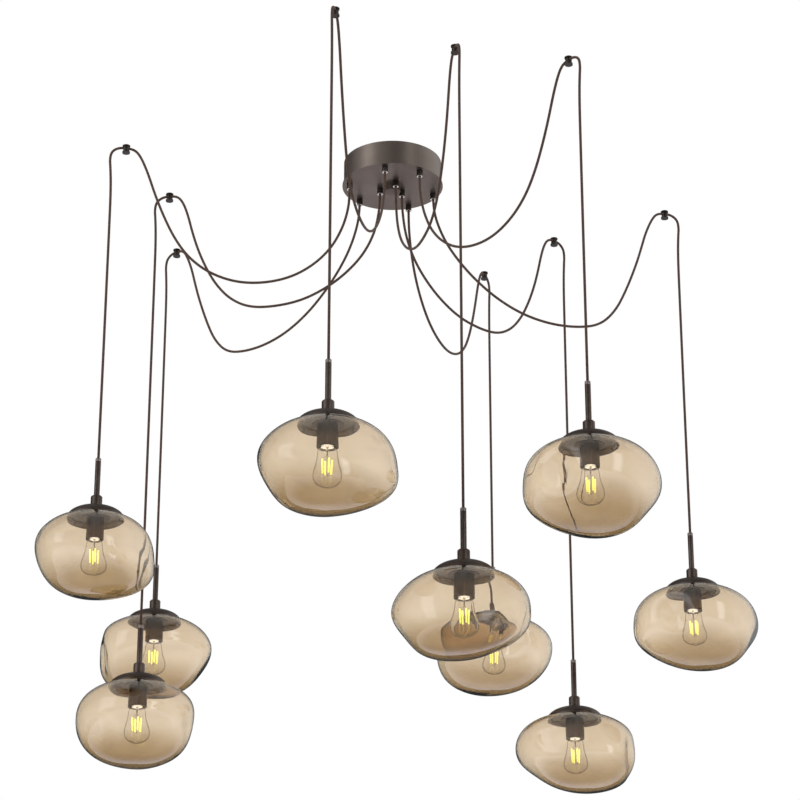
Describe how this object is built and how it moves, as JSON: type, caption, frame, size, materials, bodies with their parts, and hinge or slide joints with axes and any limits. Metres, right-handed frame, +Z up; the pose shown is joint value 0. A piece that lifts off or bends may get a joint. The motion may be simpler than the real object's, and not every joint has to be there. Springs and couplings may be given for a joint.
{
  "type": "multi-pendant light",
  "caption": "Cluster ceiling light: a round canopy feeds cloth cords that swag over ceiling hooks to amber blown-glass globe pendants with clear filament bulbs.",
  "frame": {"origin": "middle of the canopy on the ceiling plane, at the crossbar's two box holes", "axes": "+Z up, out of the ceiling box; +X along the crossbar's two holes; -Y towards the viewer in the picture"},
  "size_m": [1.6256, 1.6454, 1.4212],
  "materials": {
    "zinc_steel": "zinc plated",
    "green_screw": "green ground screw",
    "terminal_plastic": "off-white terminal block",
    "lead_jacket": "black inner lead",
    "canopy_bronze": "satin bronze-grey lacquer",
    "dark_bronze": "dark oil-rubbed bronze",
    "bronze_fitting": "dark bronze",
    "bright_ring": "bright turned ring",
    "brown_cord": "woven brown textile cord",
    "bulb_glass": "clear bulb glass",
    "amber_glass": "light amber blown glass"
  },
  "bodies": {
    "root": {"ceiling_crossbar": "zinc_steel", "ground_screw": "green_screw", "threaded_nipple": "zinc_steel", "nipple_nuts": "zinc_steel", "terminal_block": "terminal_plastic", "inner_leads": "lead_jacket", "canopy_drum": "canopy_bronze", "canopy_plate": "canopy_bronze", "canopy_cap_nut": "dark_bronze", "cord_grips": "dark_bronze", "grip_nuts": "zinc_steel", "grip_rings": "bright_ring", "hook_spools": "dark_bronze", "hook_clamps": "dark_bronze", "pendant_1_swag_cord": "brown_cord", "pendant_2_swag_cord": "brown_cord", "pendant_3_swag_cord": "brown_cord", "pendant_4_swag_cord": "brown_cord", "pendant_5_swag_cord": "brown_cord", "pendant_6_swag_cord": "brown_cord", "pendant_7_swag_cord": "brown_cord", "pendant_8_swag_cord": "brown_cord", "pendant_9_swag_cord": "brown_cord"},
    "pendant_1": {"pendant_1_drop_cord": "brown_cord", "pendant_1_fitting": "bronze_fitting", "pendant_1_bulb": "bulb_glass", "pendant_1_shade": "amber_glass"},
    "pendant_2": {"pendant_2_drop_cord": "brown_cord", "pendant_2_fitting": "bronze_fitting", "pendant_2_bulb": "bulb_glass", "pendant_2_shade": "amber_glass"},
    "pendant_3": {"pendant_3_drop_cord": "brown_cord", "pendant_3_fitting": "bronze_fitting", "pendant_3_bulb": "bulb_glass", "pendant_3_shade": "amber_glass"},
    "pendant_4": {"pendant_4_drop_cord": "brown_cord", "pendant_4_fitting": "bronze_fitting", "pendant_4_bulb": "bulb_glass", "pendant_4_shade": "amber_glass"},
    "pendant_5": {"pendant_5_drop_cord": "brown_cord", "pendant_5_fitting": "bronze_fitting", "pendant_5_bulb": "bulb_glass", "pendant_5_shade": "amber_glass"},
    "pendant_6": {"pendant_6_drop_cord": "brown_cord", "pendant_6_fitting": "bronze_fitting", "pendant_6_bulb": "bulb_glass", "pendant_6_shade": "amber_glass"},
    "pendant_7": {"pendant_7_drop_cord": "brown_cord", "pendant_7_fitting": "bronze_fitting", "pendant_7_bulb": "bulb_glass", "pendant_7_shade": "amber_glass"},
    "pendant_8": {"pendant_8_drop_cord": "brown_cord", "pendant_8_fitting": "bronze_fitting", "pendant_8_bulb": "bulb_glass", "pendant_8_shade": "amber_glass"},
    "pendant_9": {"pendant_9_drop_cord": "brown_cord", "pendant_9_fitting": "bronze_fitting", "pendant_9_bulb": "bulb_glass", "pendant_9_shade": "amber_glass"}
  },
  "joints": [
    {"name": "swing_1", "type": "hinge", "parent": "root", "child": "pendant_1", "pos_m": [-0.12596, -0.7292, -0.0584], "axis": [-0.9854, 0.1702, 0], "range_deg": [-12, 12]},
    {"name": "swing_2", "type": "hinge", "parent": "root", "child": "pendant_2", "pos_m": [0.14522, -0.57391, -0.0584], "axis": [-0.9694, -0.2453, 0], "range_deg": [-12, 12]},
    {"name": "swing_3", "type": "hinge", "parent": "root", "child": "pendant_3", "pos_m": [0.40815, -0.51867, -0.0584], "axis": [-0.7859, -0.6184, 0], "range_deg": [-12, 12]},
    {"name": "swing_4", "type": "hinge", "parent": "root", "child": "pendant_4", "pos_m": [0.69449, 0.25552, -0.0584], "axis": [0.3453, -0.9385, 0], "range_deg": [-12, 12]},
    {"name": "swing_5", "type": "hinge", "parent": "root", "child": "pendant_5", "pos_m": [0.42441, 0.41272, -0.0584], "axis": [0.6972, -0.7169, 0], "range_deg": [-12, 12]},
    {"name": "swing_6", "type": "hinge", "parent": "root", "child": "pendant_6", "pos_m": [0.2451, 0.6128, -0.0584], "axis": [0.9285, -0.3714, 0], "range_deg": [-12, 12]},
    {"name": "swing_7", "type": "hinge", "parent": "root", "child": "pendant_7", "pos_m": [-0.56853, 0.47368, -0.0584], "axis": [0.6401, 0.7683, 0], "range_deg": [-12, 12]},
    {"name": "swing_8", "type": "hinge", "parent": "root", "child": "pendant_8", "pos_m": [-0.56963, 0.16119, -0.0584], "axis": [0.2723, 0.9622, 0], "range_deg": [-12, 12]},
    {"name": "swing_9", "type": "hinge", "parent": "root", "child": "pendant_9", "pos_m": [-0.65325, -0.09413, -0.0584], "axis": [-0.1426, 0.9898, 0], "range_deg": [-12, 12]}
  ]
}
